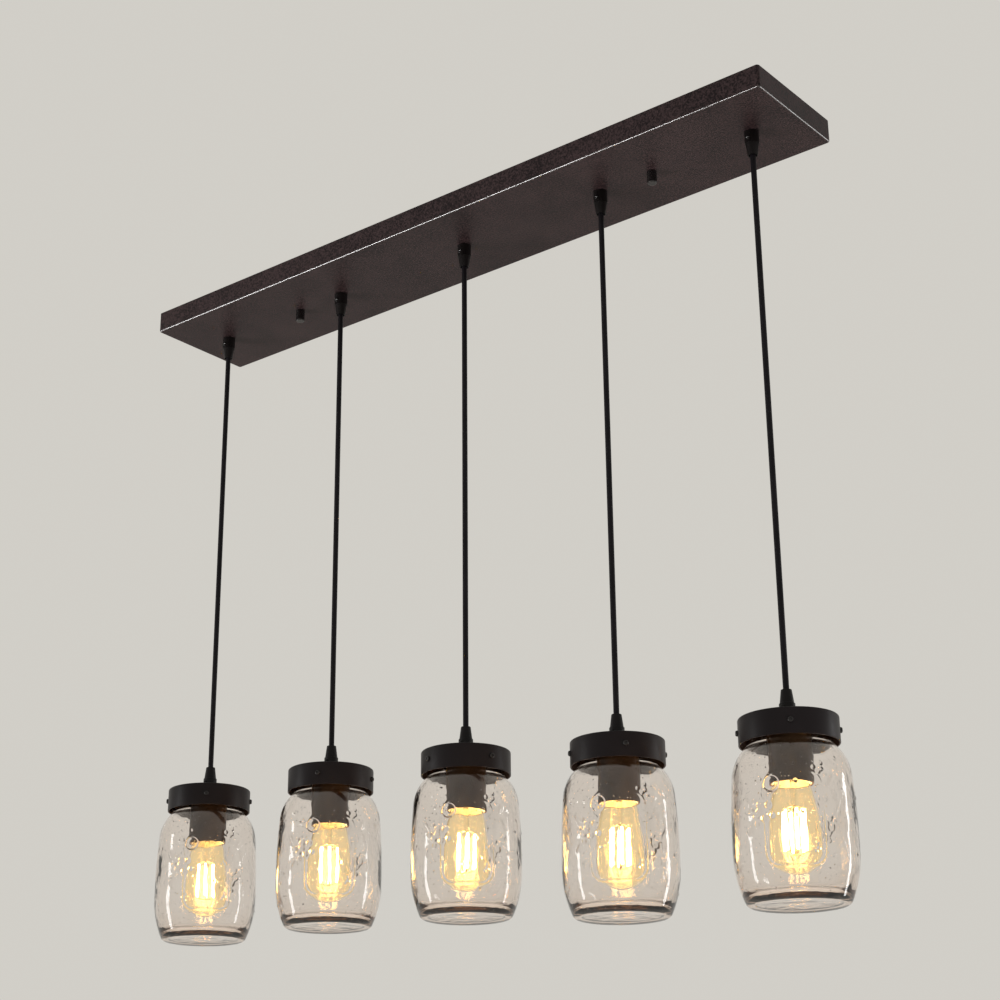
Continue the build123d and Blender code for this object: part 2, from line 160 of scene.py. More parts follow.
def arcPoints(centre, radius, start, end, count):
    # Points on an arc from a start to an end angle in radians: centre + radius (cos a, sin a)
    a = np.linspace(start, end, count)
    return np.stack([centre[0] + radius * np.cos(a), centre[1] + radius * np.sin(a)], 1)


def arcFrom(start, heading, end, count):
    # The arc that leaves start in the heading's direction and reaches end: it turns by twice the
    # angle between heading and chord, and its radius is half the chord over that angle's sine
    chord = np.array(end) - np.array(start)
    aim = math.atan2(heading[1], heading[0])
    halfTurn = math.remainder(math.atan2(chord[1], chord[0]) - aim, 2 * math.pi)
    radius = np.linalg.norm(chord) / (2 * math.sin(halfTurn))
    centre = (start[0] - radius * math.sin(aim), start[1] + radius * math.cos(aim))
    first = math.atan2(start[1] - centre[1], start[0] - centre[0])
    return arcPoints(centre, abs(radius), first, first + 2 * halfTurn, count)


def evened(line, count):
    # The same line with its points evenly spaced along it
    gone = np.concatenate([[0], np.cumsum(np.linalg.norm(np.diff(line, axis=0), axis=1))])
    at = np.linspace(0, gone[-1], count)
    return np.stack([np.interp(at, gone, line[:, k]) for k in range(line.shape[1])], 1)


def faded(depth, start, end, inLength, outLength):
    # Nothing outside two depths and one between them, with a straight slope inside each
    return np.clip((depth - start) / inLength, 0, 1) * np.clip((end - depth) / outLength, 0, 1)


def fullTurn(count):
    return np.linspace(0, 2 * math.pi, count, endpoint=False)


def ringPoints(r, angle, z):
    # Points round the axis: (r cos a, r sin a, z)
    return np.stack([r * np.cos(angle), r * np.sin(angle), z + 0 * angle], -1)


def turned(profile, segments=shared["turnSegments"], closed=False):
    # Each profile point (r, z) goes round the axis
    return ringPoints(profile[:, 0:1], fullTurn(segments), profile[:, 1:2]), closed, True


def moved(part, x=0.0, y=0.0, z=0.0):
    grid, wrapRows, wrapColumns = part
    return grid + np.array([x, y, z]), wrapRows, wrapColumns


def aimed(part, direction, origin):
    # The part's own z axis turned to a level direction, and its own origin moved to a place
    grid, wrapRows, wrapColumns = part
    out = np.array(direction, float) / np.linalg.norm(direction)
    side = np.cross([0, 0, 1], out)
    turn = np.stack([side, np.cross(out, side), out])
    return grid @ turn + np.array(origin, float), wrapRows, wrapColumns


def tube(path, radius, segments, capRows=3, capShare=0.5):
    # A ring of points round each path point, square to the path. A rounded cap stands on each
    # end, as high as a share of the radius.
    path = np.array(path, float)
    ahead = np.gradient(path, axis=0)
    ahead /= np.linalg.norm(ahead, axis=1)[:, None]
    side = np.zeros_like(path)
    seed = np.array([0, 1, 0]) if abs(ahead[0][1]) < 0.8 else np.array([1, 0, 0])
    for k, way in enumerate(ahead):
        seed = seed - way * (seed @ way)
        seed = seed / np.linalg.norm(seed)
        side[k] = seed
    other = np.cross(ahead, side)
    dip = np.linspace(0, math.pi / 2, capRows + 1)[:-1]
    rise = radius * capShare * np.cos(dip)[:, None]
    centres = np.concatenate([path[:1] - ahead[:1] * rise, path, path[-1:] + ahead[-1:] * rise[::-1]])
    radii = np.concatenate([radius * np.sin(dip), np.full(len(path), radius), radius * np.sin(dip[::-1])])
    sides, others = (np.concatenate([np.repeat(way[:1], capRows, 0), way, np.repeat(way[-1:], capRows, 0)])
                     for way in (side, other))
    angle = fullTurn(segments)
    ring = sides[:, None] * np.cos(angle)[None, :, None] + others[:, None] * np.sin(angle)[None, :, None]
    return centres[:, None] + radii[:, None, None] * ring, False, True


def pendantPiece(name, number, parts, material, body, replaced=None, sharpAngle=40.0):
    # A piece of one pendant, from parts that are measured from the middle of its cap's top
    x, y, _, capTop = centreOf(f"jar_cap_{number}")
    makePiece(f"{name}{number}", [moved(part, x, y, capTop) for part in parts], material,
              f"{body}_{number}", [f"{replaced}_{number}"] if replaced else (), sharpAngle)


# Materials

def newMaterial(name, **sockets):
    # A Principled shader with its constant sockets set on the shader itself
    material = bpy.data.materials.new(name)
    material.use_nodes = True
    shader = material.node_tree.nodes["Principled BSDF"]
    for socket, value in sockets.items():
        shader.inputs[socket.replace("_", " ")].default_value = value
    return material, shader


def addNode(material, kind, x, y, **settings):
    node = material.node_tree.nodes.new(kind)
    node.location = (x, y)
    for key, value in settings.items():
        if key in node.inputs:
            node.inputs[key].default_value = value
        else:
            setattr(node, key, value)
    return node


def join(material, start, end):
    material.node_tree.links.new(start, end)


def addPattern(material, kind, output, y, **settings):
    # A pattern on Object coordinates
    where = addNode(material, "ShaderNodeTexCoord", -900, y)
    pattern = addNode(material, kind, -700, y, **settings)
    join(material, where.outputs["Object"], pattern.inputs["Vector"])
    return pattern.outputs[output]


def addNoise(material, size, detail=3.0, y=0):
    # Noise whose lumps are about this many metres across
    return addPattern(material, "ShaderNodeTexNoise", "Fac", y, Scale=1 / size, Detail=detail)


def addRange(material, value, low, high, y=0, fromLow=0.3, fromHigh=0.7):
    spread = addNode(material, "ShaderNodeMapRange", -450, y)
    amounts = {"From Min": fromLow, "From Max": fromHigh, "To Min": low, "To Max": high}
    for socket, amount in amounts.items():
        spread.inputs[socket].default_value = amount
    join(material, value, spread.inputs["Value"])
    return spread.outputs["Result"]


def addMath(material, operation, first, second, y=0):
    # A sum, difference or product of two values, each a number or another node's output
    node = addNode(material, "ShaderNodeMath", -650, y, operation=operation)
    for socket, value in zip(node.inputs, (first, second)):
        if isinstance(value, float):
            socket.default_value = value
        else:
            join(material, value, socket)
    return node.outputs[0]


def addTones(material, shader, value, dark, light, darkEnd=0.32, lightEnd=0.68):
    tones = addNode(material, "ShaderNodeValToRGB", -450, 200)
    ends = tones.color_ramp.elements
    ends[0].position, ends[1].position = darkEnd, lightEnd
    ends[0].color, ends[1].color = (*dark, 1), (*light, 1)
    join(material, value, tones.inputs["Fac"])
    join(material, tones.outputs["Color"], shader.inputs["Base Color"])


def addBump(material, value, height, strength=1.0, under=None, y=-300):
    # A bump of this height in metres, on top of the bump under it if one is given
    bump = addNode(material, "ShaderNodeBump", -200, y, Strength=strength, Distance=height)
    join(material, value, bump.inputs["Height"])
    if under is not None:
        join(material, under, bump.inputs["Normal"])
    return bump.outputs["Normal"]


def surfaceFinish(name, dark, light, roughness, grain, height, patch=0.05, specular=0.5, speckle=0.0,
                  metallic=0.0, detail=2.0, driftBand=(0.42, 0.58)):
    # A slow drift of tone in patches, a grain in the surface and a little change of gloss. Where
    # it is speckled, the drift is narrowed to its band, and the tone is the drift plus speckle
    # times the grain's distance from a half.
    material, shader = newMaterial(name, Specular_IOR_Level=specular, Metallic=metallic)
    tone = addNoise(material, patch, y=300)
    fine = addNoise(material, grain, detail, y=-200)
    if speckle:
        drift = addRange(material, tone, *driftBand, y=400)
        grains = addRange(material, fine, -speckle / 2, speckle / 2, y=100, fromLow=0.0, fromHigh=1.0)
        tone = addMath(material, "ADD", drift, grains, y=350)
    addTones(material, shader, tone, dark, light)
    join(material, addRange(material, fine, *roughness, y=-100), shader.inputs["Roughness"])
    join(material, addBump(material, fine, height), shader.inputs["Normal"])
    return material


def coatEdges(material, coatRoughness, coatIOR):
    # The coat lies thick on rounded edges: its weight is 4 z squared (1 - z squared), with z the
    # normal's upward part, so it is nothing on flat and upright faces and full half way between
    shader = material.node_tree.nodes["Principled BSDF"]
    shader.inputs["Coat Roughness"].default_value = coatRoughness
    shader.inputs["Coat IOR"].default_value = coatIOR
    surface = addNode(material, "ShaderNodeNewGeometry", -1100, 700)
    parts = addNode(material, "ShaderNodeSeparateXYZ", -900, 700)
    join(material, surface.outputs["Normal"], parts.inputs["Vector"])
    square = addMath(material, "MULTIPLY", parts.outputs["Z"], parts.outputs["Z"], y=700)
    rest = addMath(material, "SUBTRACT", 1.0, square, y=800)
    product = addMath(material, "MULTIPLY", square, rest, y=750)
    join(material, addMath(material, "MULTIPLY", product, 4.0, y=650), shader.inputs["Coat Weight"])


def clearGlass(name, colour, roughness, ior, passColour, **sockets):
    # Rays from the lamps go straight through the glass, so that they reach what is behind it
    material, shader = newMaterial(name, Base_Color=(*colour, 1), Roughness=roughness, IOR=ior,
                                   Transmission_Weight=1.0, **sockets)
    passes = addNode(material, "ShaderNodeBsdfTransparent", 200, -300, Color=(*passColour, 1))
    light = addNode(material, "ShaderNodeLightPath", 100, 300)
    either = addNode(material, "ShaderNodeMixShader", 450, 0)
    ways = (light.outputs["Is Shadow Ray"], shader.outputs["BSDF"], passes.outputs["BSDF"])
    for socket, output in zip(either.inputs, ways):
        join(material, output, socket)
    join(material, either.outputs["Shader"], material.node_tree.nodes["Material Output"].inputs["Surface"])
    return material, shader


bronzePaint = surfaceFinish("bronzePaint", (0.0045, 0.0022, 0.0028), (0.029, 0.0175, 0.018), (0.34, 0.56),
                            0.0019, 0.00022, specular=0.12, speckle=1.5)
coatEdges(bronzePaint, 0.22, 1.8)
blackPaint = surfaceFinish("blackPaint", (0.0042, 0.0028, 0.0032), (0.0072, 0.0052, 0.0058),
                           (0.34, 0.46), 0.0008, 0.00004, specular=0.14)
holderPaint = surfaceFinish("holderPaint", (0.012, 0.006, 0.003), (0.030, 0.017, 0.008),
                            (0.28, 0.4), 0.0012, 0.00003, patch=0.02, specular=0.16)
blackSteel = surfaceFinish("blackSteel", (0.004, 0.003, 0.003), (0.007, 0.0055, 0.0055),
                           (0.18, 0.3), 0.0009, 0.00003, specular=0.35)
blackPlastic = surfaceFinish("blackPlastic", (0.0026, 0.0018, 0.0018), (0.005, 0.0038, 0.0038),
                             (0.34, 0.46), 0.0007, 0.00003, specular=0.16)
cordCover = surfaceFinish("cordCover", (0.0028, 0.0022, 0.003), (0.0055, 0.0045, 0.0058),
                          (0.42, 0.55), 0.0015, 0.00006, specular=0.12)
bushingRubber = surfaceFinish("bushingRubber", (0.009, 0.008, 0.008), (0.015, 0.013, 0.013),
                              (0.6, 0.75), 0.0006, 0.00003, specular=0.2)
groundGreen = surfaceFinish("groundGreen", (0.02, 0.16, 0.05), (0.03, 0.22, 0.07),
                            (0.3, 0.42), 0.0008, 0.00003)
terminalPlastic = surfaceFinish("terminalPlastic", (0.72, 0.70, 0.64), (0.80, 0.78, 0.73),
                                (0.4, 0.52), 0.001, 0.00003)
holderCeramic = surfaceFinish("holderCeramic", (0.70, 0.64, 0.52), (0.78, 0.73, 0.61),
                              (0.24, 0.34), 0.001, 0.00003)
platedMetal = {"grain": 0.002, "height": 0.00002, "patch": 0.02, "metallic": 1.0, "detail": 3.0}
zincSteel = surfaceFinish("zincSteel", (0.42, 0.42, 0.41), (0.62, 0.62, 0.60),
                          (0.28, 0.46), **platedMetal)
nickelBrass = surfaceFinish("nickelBrass", (0.50, 0.42, 0.28), (0.72, 0.62, 0.44),
                            (0.2, 0.34), **platedMetal)

# The jars' glass: slow waves, and seeds in a cell pattern of so many cells to a metre, each seed
# reaching a share of its cell. Thick glass takes more light than thin.
glassSettings = {"waveSize": 0.014, "waveHeight": 0.0004, "seedCells": 190.0, "seedReach": 0.12,
                 "seedHeight": 0.0007, "seedStrength": 0.8, "depthTint": (0.69, 0.50, 0.34), "density": 46.0}


def jarGlassMaterial(g):
    # The share of light left is e to the minus density (1 - tint) depth
    material, shader = clearGlass("jarGlass", (1.0, 0.992, 0.986), 0.0, 1.5, (0.98, 0.97, 0.96),
                                  Specular_IOR_Level=0.35)
    waves = addBump(material, addNoise(material, g["waveSize"], detail=1.0, y=-200), g["waveHeight"], y=-400)
    cells = addPattern(material, "ShaderNodeTexVoronoi", "Distance", -700, Scale=g["seedCells"])
    seeds = addRange(material, cells, 1.0, 0.0, y=-700, fromLow=0.0, fromHigh=g["seedReach"])
    join(material, addBump(material, seeds, g["seedHeight"], g["seedStrength"], waves, y=-500),
         shader.inputs["Normal"])
    tint = addNode(material, "ShaderNodeVolumeAbsorption", 450, -250, Color=(*g["depthTint"], 1),
                   Density=g["density"])
    join(material, tint.outputs["Volume"], material.node_tree.nodes["Material Output"].inputs["Volume"])
    return material


jarGlass = jarGlassMaterial(glassSettings)
# The lamp glass's weak amber emission is a painted glow: the glass gives no light of its own, and the glow
# stands in for the haze round the lit filaments.
lampGlass, _ = clearGlass("lampGlass", (1.0, 0.94, 0.76), 0.03, 1.46, (1.0, 0.97, 0.90),
                          Emission_Color=(1.0, 0.66, 0.24, 1), Emission_Strength=0.045)
stemGlass, _ = clearGlass("stemGlass", (1.0, 0.97, 0.90), 0.02, 1.46, (0.98, 0.96, 0.92))
filamentGlow, _ = newMaterial("filamentGlow", Base_Color=(0.9, 0.75, 0.4, 1), Roughness=0.5,
                              Emission_Color=(1.0, 0.66, 0.27, 1), Emission_Strength=75.0)
filamentGlow.cycles.emission_sampling = "NONE"  # the lamps' own lights stand in for it
print("materials made")


# Camera, from the photograph's own viewing angle

cameraSettings = {"place": (1.26840, -1.52378, -1.07972), "yaw": 38.690, "pitch": 20.673,
                  "roll": -0.569, "lens": 71.04, "sensor": 36.0, "clipStart": 0.05, "clipEnd": 50}


def makeCamera(settings):
    yaw, pitch, roll = (math.radians(settings[k]) for k in ("yaw", "pitch", "roll"))
    ahead = np.array([-math.sin(yaw) * math.cos(pitch), math.cos(yaw) * math.cos(pitch), math.sin(pitch)])
    level = np.array([math.cos(yaw), math.sin(yaw), 0])
    above = np.cross(level, ahead)
    right = level * math.cos(roll) + above * math.sin(roll)
    up = above * math.cos(roll) - level * math.sin(roll)
    data = bpy.data.cameras.new("photoCamera")
    data.sensor_width, data.lens = settings["sensor"], settings["lens"]
    data.clip_start, data.clip_end = settings["clipStart"], settings["clipEnd"]
    camera = newObject("photoCamera", data)
    axes = np.stack([right, up, -ahead], 1).tolist()
    rows = [[*row, place] for row, place in zip(axes, settings["place"])]
    camera.matrix_world = Matrix(rows + [[0, 0, 0, 1]])
    bpy.context.scene.camera = camera


makeCamera(cameraSettings)
print("camera placed")


# Cords: straight, from the swing point in a canopy grip down into the jar's grip

cordSettings = {"radius": 0.0029, "ringSpacing": 0.012, "segments": 28}


def makeCord(c, number):
    x, y, low, _ = centreOf(f"cord_{number}")
    swing = jointNamed(f"swing_fore_{number}")["pos_m"][2]
    count = round((swing - low) / c["ringSpacing"])
    path = np.stack([np.full(count, x), np.full(count, y), np.linspace(swing, low, count)], 1)
    side = np.stack([np.full(count, c["radius"]), path[:, 2]], 1)
    profile = np.concatenate([[[0.0, swing]], side, [[0.0, low]]])
    cord = makePiece(f"cord{number}", [moved(turned(profile, c["segments"]), x, y)], cordCover,
                     f"cord_line_{number}", [f"cord_{number}"])
    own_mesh(cord)


for number in pendantNumbers:
    makeCord(cordSettings, number)
print("cords made")


# Cord grips: collar, taper and tip, with a small slotted clamping screw in the collar. The
# canopy's grips keep their solids and get only the screws.

gripSettings = {"collarRadius": 0.0075, "collarHeight": 0.014, "taperRadius": 0.0067, "taperHeight": 0.013,
                "tipRadius": 0.005, "tipMouth": 0.003, "spigotRadius": 0.0049, "spigotLength": 0.008,
                "boreRadius": 0.0031, "edge": 0.0006, "step": 0.0004, "segments": 48,
                "screwRadius": 0.002, "screwStand": 0.0009, "screwDome": 0.3, "screwRings": 10,
                "screwShare": 2 / 3, "seatSink": 0.0004,
                "slotWidth": 0.0006, "slotDepth": 0.0005, "slotSoftness": 0.12}


def gripProfile(g):
    # From the spigot's bore round the outside to the tip, with z up from the collar's seat
    tip = g["collarHeight"] + g["taperHeight"]
    return roundedProfile([
        (g["boreRadius"], -g["spigotLength"], 0), (g["spigotRadius"], -g["spigotLength"], g["step"]),
        (g["spigotRadius"], 0, 0), (g["collarRadius"], 0, g["step"]),
        (g["collarRadius"], g["collarHeight"], g["edge"]), (g["taperRadius"], g["collarHeight"], 0),
        (g["tipRadius"], tip, g["edge"]), (g["boreRadius"] + g["step"] / 2, tip, g["step"]),
        (g["boreRadius"], tip - g["tipMouth"], 0), (g["boreRadius"], -g["spigotLength"], 0)], closed=True)


def slottedHead(g):
    # A low round head: rings of points out from its middle, lowered at the rim by a round edge
    # and along the slot by its depth
    share = np.concatenate([np.linspace(0, 1, g["screwRings"]), [1.0]])[:, None]
    angle = fullTurn(g["segments"])
    x = g["screwRadius"] * share * np.cos(angle)
    y = g["screwRadius"] * share * np.sin(angle)
    z = g["screwStand"] * (1 - g["screwDome"] * share ** 4) + 0 * angle
    fromSlot = (np.abs(y) - g["slotWidth"] / 2) / (g["slotSoftness"] * g["slotWidth"])
    z = z - g["slotDepth"] / (1 + np.exp(fromSlot))
    z[-1] = -g["seatSink"]
    return np.stack([x, y, z], -1), False, True


def gripScrew(g, x, y, seat, way):
    # Way is 1 for a grip that stands on its seat and -1 for one that hangs from it
    place = (x, y - g["collarRadius"], seat + way * g["collarHeight"] * g["screwShare"])
    return aimed(slottedHead(g), (0, -1, 0), place)


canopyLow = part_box("canopy")[0].z
hangingScrews = [gripScrew(gripSettings, *centreOf(f"cord_bushing_{number}")[:2], canopyLow, -1)
                 for number in pendantNumbers]
makePiece("canopyGripScrews", hangingScrews, blackSteel, "root", ())
for number in pendantNumbers:
    body = turned(gripProfile(gripSettings), gripSettings["segments"], closed=True)
    pendantPiece("jarGrip", number, [body, gripScrew(gripSettings, 0, 0, 0, 1)], blackPlastic,
                 "pendant", "jar_grip")
print("grips made")


# Jar caps: spun cups with a soft shoulder and a rolled rim, and button-head screws round them

capSettings = {"radius": 0.046, "height": 0.0245, "wall": 0.0015, "shoulder": 0.0016, "rim": 0.0005,
               "holeRadius": 0.00515, "holeEdge": 0.0002, "innerEdge": 0.0004, "segments": 160,
               "twists": (43.0, 26.0, 74.0, 45.0, 33.0), "neckRadius": 0.0395,
               "screwRadius": 0.0028, "screwHeight": 0.0022, "shankRadius": 0.0015, "screwCount": 4,
               "screwEdge": 0.25, "screwSegments": 48, "domeRows": 9, "seatSink": 0.0001,
               "socketRadius": 0.0012, "socketDepth": 0.001}


def capProfile(c):
    inside = c["radius"] - c["wall"]
    return roundedProfile([
        (c["holeRadius"], 0, c["holeEdge"]), (c["radius"], 0, c["shoulder"]),
        (c["radius"], -c["height"], c["rim"]), (inside, -c["height"], c["rim"]),
        (inside, -c["wall"], c["innerEdge"]), (c["holeRadius"], -c["wall"], c["holeEdge"])], closed=True)


def socketHead(c):
    # A button head's outline turned about its axis, with a six-sided recess: inside the recess
    # the radius follows a hexagon, apothem / cos of the angle from the nearest flat
    angle = fullTurn(c["screwSegments"])
    flat = (angle + math.pi / 6) % (math.pi / 3) - math.pi / 6
    hexagon = c["socketRadius"] / np.cos(flat)
    floorZ = c["screwHeight"] - c["socketDepth"]
    shankEnd = c["neckRadius"] + shared["seatGap"] - c["radius"]
    rows = [(0, floorZ), (hexagon, floorZ), (hexagon, c["screwHeight"])]
    for bend in np.linspace(0, math.pi / 2, c["domeRows"])[1:]:
        height = c["screwHeight"] * (c["screwEdge"] + (1 - c["screwEdge"]) * math.cos(bend))
        rows.append((hexagon + (c["screwRadius"] - hexagon) * math.sin(bend), height))
    rows += [(c["screwRadius"], -c["seatSink"]), (c["shankRadius"], -c["seatSink"]),
             (c["shankRadius"], shankEnd), (0, shankEnd)]
    r, z = (np.stack([row[k] + 0 * angle for row in rows]) for k in (0, 1))
    return ringPoints(r, angle, z), False, True


def capScrews(c, number):
    # Evenly round the cap at half its height, from the twist that this cap stands at
    screws = []
    for k in range(c["screwCount"]):
        a = math.radians(c["twists"][number - 1] + 360 / c["screwCount"] * k)
        place = (c["radius"] * math.cos(a), c["radius"] * math.sin(a), -c["height"] / 2)
        screws.append(aimed(socketHead(c), (math.cos(a), math.sin(a), 0), place))
    return screws


for number in pendantNumbers:
    pendantPiece("jarCap", number, [turned(capProfile(capSettings), capSettings["segments"], closed=True)],
                 blackPaint, "pendant", "jar_cap")
    pendantPiece("capScrews", number, capScrews(capSettings, number), blackSteel, "pendant",
                 "cap_screws")
print("caps and screws made")


# Lamp holders: a tube with a soft top edge, and a pale insulator round the socket inside it

holderSettings = {"radius": 0.0202, "top": 0.0015, "length": 0.0593, "edge": 0.0008, "wall": 0.0016,
                  "mouthDepth": 0.011, "socketRadius": 0.0134, "socketDepth": 0.024, "rim": 0.0004,
                  "fit": 0.0001, "crownWall": 0.002, "skirtWall": 0.0005}


def holderProfile(h):
    mouth = -h["top"] - h["length"]
    inside, ceiling = h["radius"] - h["wall"], -h["top"] - h["wall"]
    return roundedProfile([
        (0, -h["top"], 0), (h["radius"], -h["top"], h["edge"]), (h["radius"], mouth, h["rim"]),
        (inside, mouth, h["rim"]), (inside, ceiling, h["edge"]), (0, ceiling, 0)])


def insulatorProfile(h):
    # A crown over the socket, the socket's wall and a thin skirt that lines the holder's mouth
    mouth = -h["top"] - h["length"]
    ledge = mouth + h["mouthDepth"]
    outside = h["radius"] - h["wall"] - h["fit"]
    skirt = mouth + h["fit"] + h["rim"]
    crown = ledge + h["socketDepth"]
    return roundedProfile([
        (0, crown + h["crownWall"], 0), (outside, crown + h["crownWall"], h["edge"]), (outside, skirt, 0),
        (outside - h["skirtWall"], skirt, 0), (outside - h["skirtWall"], ledge, 0),
        (h["socketRadius"], ledge, h["edge"]), (h["socketRadius"], crown, h["rim"]), (0, crown, 0)])


for number in pendantNumbers:
    pendantPiece("lampHolder", number, [turned(holderProfile(holderSettings))], holderPaint, "pendant",
                 "lamp_holder")
    pendantPiece("lampSocket", number, [turned(insulatorProfile(holderSettings))], holderCeramic, "pendant")
print("lamp holders made")


# Jars: pressed glass with a bead, a shoulder, a barrel body, a small foot and a thick floor. The
# inside's waves are (turns round, twist, length down, shift, share). The jar's number times twist
# and shift moves them.

jarSettings = {
    "top": 0.0018, "neckRadius": 0.0395, "beadRadius": 0.0426, "beadLow": 0.01045, "beadCorner": 0.0015,
    "lipCorner": 0.0008, "neckEnd": 0.026, "bodyRadius": 0.056, "widestDepth": 0.112, "barrelRadius": 0.7,
    "shoulderLength": 0.028, "heelLength": 0.044, "footWidth": 0.005, "footHeight": 0.0035,
    "baseRadius": 0.042, "bottom": 0.1685, "floor": 0.007, "floorDome": 0.0009, "wall": 0.0032,
    "pushUp": 0.0016, "columns": 360, "outerRows": 190, "innerRows": 26, "floorRows": 14, "rimSteps": 5,
    "frontAngles": (-44.0, -47.0, -50.0, -54.0, -60.0), "frontSpread": 3.0, "crowding": 0.45,
    "fadeIn": 0.012, "fadeOut": 0.01, "calmIn": 0.02, "waveHeight": 0.00035,
    "waves": ((3, 2.1, 0.021, 0, 1.0), (7, 1, 0.013, 1, 0.6)), "firstSeed": 40}
# The mould's pattern, from the middle of its front: u runs round the body and v down from the
# cap's top. Bunches are (u, v, count, spacing, bead radius), rings (u, v, radius, half width) and
# leaves (u, v, half length, half width, lean in degrees). A chain of drops runs down one side.
patternSettings = {
    "bunches": ((-0.031, 0.094, 9, 0.0044, 0.0042), (0.027, 0.058, 5, 0.0036, 0.0025),
                (0.020, 0.128, 3, 0.0030, 0.0019)),
    "rings": ((-0.019, 0.070, 0.0062, 0.0008), (-0.031, 0.0655, 0.0032, 0.0006)),
    "leaves": ((-0.045, 0.083, 0.0075, 0.0024, 35.0), (-0.043, 0.108, 0.0065, 0.0022, -40.0),
               (0.036, 0.068, 0.0065, 0.0020, -30.0), (0.040, 0.081, 0.0055, 0.0018, 25.0)),
    "beadShare": 0.52, "beadShrink": 0.45, "goldenAngle": 137.5, "ringHeight": 0.0009, "leafHeight": 0.0009,
    "chainU": 0.044, "chainSway": 0.005, "chainWave": 0.009, "chainJitter": 0.002,
    "chainTop": 0.074, "chainEnd": 0.138, "chainCount": 20,
    "seedCount": 60, "seedRadius": (0.0007, 0.0015), "seedTop": 0.045, "seedEnd": 0.150,
    "frameHalfWidth": 0.026, "frameTop": 0.060, "frameEnd": 0.142, "frameCorner": 0.012,
    "frameWidth": 0.0009, "frameHeight": 0.0004}


def jarRim(j):
    inside = j["neckRadius"] - j["wall"]
    return roundedProfile([
        (inside, -j["neckEnd"], 0), (inside, -j["top"], j["lipCorner"]),
        (j["beadRadius"], -j["top"], j["beadCorner"]), (j["beadRadius"], -j["beadLow"], j["beadCorner"]),
        (j["neckRadius"], -j["beadLow"], j["lipCorner"]), (j["neckRadius"], -j["neckEnd"], 0)],
        steps=j["rimSteps"])


def jarSide(j, inset, endRadius, endDepth, count):
    # Four arcs from neck to base: shoulder and heel, each running smoothly into a long barrel
    # arc, and a small foot. The inside is the same, moved in by the wall.
    barrel = j["barrelRadius"] - inset
    centre = (j["bodyRadius"] - j["barrelRadius"], -j["widestDepth"])
    high = math.asin((j["widestDepth"] - j["neckEnd"] - j["shoulderLength"]) / barrel)
    low = -math.asin((j["bottom"] - j["heelLength"] - j["widestDepth"]) / barrel)
    side = arcPoints(centre, barrel, high, low, count)
    top, under = side[0], side[-1]
    shoulder = arcFrom(top, (centre[1] - top[1], top[0] - centre[0]),
                       (j["neckRadius"] - inset, -j["neckEnd"]), count)
    foot = arcFrom((endRadius, -endDepth), (1, 0),
                   (endRadius + j["footWidth"], j["footHeight"] - endDepth), count)
    heel = arcFrom(under, (under[1] - centre[1], centre[0] - under[0]), foot[-1], count)
    return evened(np.concatenate([shoulder[::-1], side[1:], heel[1:], foot[-2::-1]]), count)


def domedFloor(radius, z, rise, power, rows):
    # From the edge to the middle: z plus rise times a power of 1 - (share of the radius) squared
    share = np.linspace(1, 0, rows)[1:, None]
    return np.concatenate([radius * share, z + rise * (1 - share ** 2) ** power], 1)


def domes(u, v, beads):
    # Height of half-round beads, each (u, v, radius): radius times the root of 1 - (distance /
    # radius) squared inside it and nothing outside, and the highest where two meet
    height = np.zeros(np.broadcast(u, v).shape)
    for beadU, beadV, radius in beads:
        away = ((u - beadU) ** 2 + (v - beadV) ** 2) / radius ** 2
        height = np.maximum(height, radius * np.sqrt(np.clip(1 - away, 0, 1)))
    return height


def frameRidge(s, u, v):
    # A thin ridge along a rounded rectangle: a bell curve over the distance from its outline
    middle, halfHeight = (s["frameTop"] + s["frameEnd"]) / 2, (s["frameEnd"] - s["frameTop"]) / 2
    overU = np.abs(u) - s["frameHalfWidth"] + s["frameCorner"]
    overV = np.abs(v - middle) - halfHeight + s["frameCorner"]
    outside = np.hypot(np.maximum(overU, 0), np.maximum(overV, 0)) + np.minimum(np.maximum(overU, overV), 0)
    return np.exp(-((outside - s["frameCorner"]) / s["frameWidth"]) ** 2)


def bunchBeads(s, u, v, count, spacing, radius):
    # Beads laid like a sunflower's seeds: bead k is spacing times the root of k from the middle,
    # a golden angle further round, and a little smaller than the one before
    k = np.arange(count)
    a = k * math.radians(s["goldenAngle"])
    reach = spacing * np.sqrt(k)
    size = radius * (1 - s["beadShrink"] * k / count)
    return np.stack([u + reach * np.cos(a), v + reach * np.sin(a), size], 1).tolist()


def leafMound(u, v, leaf):
    # A long low mound: e to the minus fourth power along and square across its leaning axis
    leafU, leafV, halfLength, halfWidth, lean = leaf
    a = math.radians(lean)
    along = (u - leafU) * math.sin(a) + (v - leafV) * math.cos(a)
    across = (u - leafU) * math.cos(a) - (v - leafV) * math.sin(a)
    return np.exp(-(along / halfLength) ** 4 - (across / halfWidth) ** 2)


def mouldPattern(s, u, v, random):
    beads = [bead for bunch in s["bunches"] for bead in bunchBeads(s, *bunch)]
    for dropV in np.linspace(s["chainTop"], s["chainEnd"], s["chainCount"]):
        jitter = random.uniform(-s["chainJitter"], s["chainJitter"])
        dropU = s["chainU"] + s["chainSway"] * math.sin(dropV / s["chainWave"]) + jitter
        beads.append((dropU, dropV, random.uniform(*s["seedRadius"])))
    relief = s["beadShare"] * domes(u, v, beads)
    for ringU, ringV, radius, halfWidth in s["rings"]:
        away = np.hypot(u - ringU, v - ringV) - radius
        relief += s["ringHeight"] * np.exp(-(away / halfWidth) ** 2)
    for leaf in s["leaves"]:
        relief += s["leafHeight"] * leafMound(u, v, leaf)
    return relief + s["frameHeight"] * frameRidge(s, u, v)


def roundBody(j, turn):
    # A turn as a length round the body, from minus to plus half the way round, so that beads
    # are round there: the angle times the body's radius
    return ((turn + math.pi) % (2 * math.pi) - math.pi) * j["bodyRadius"]


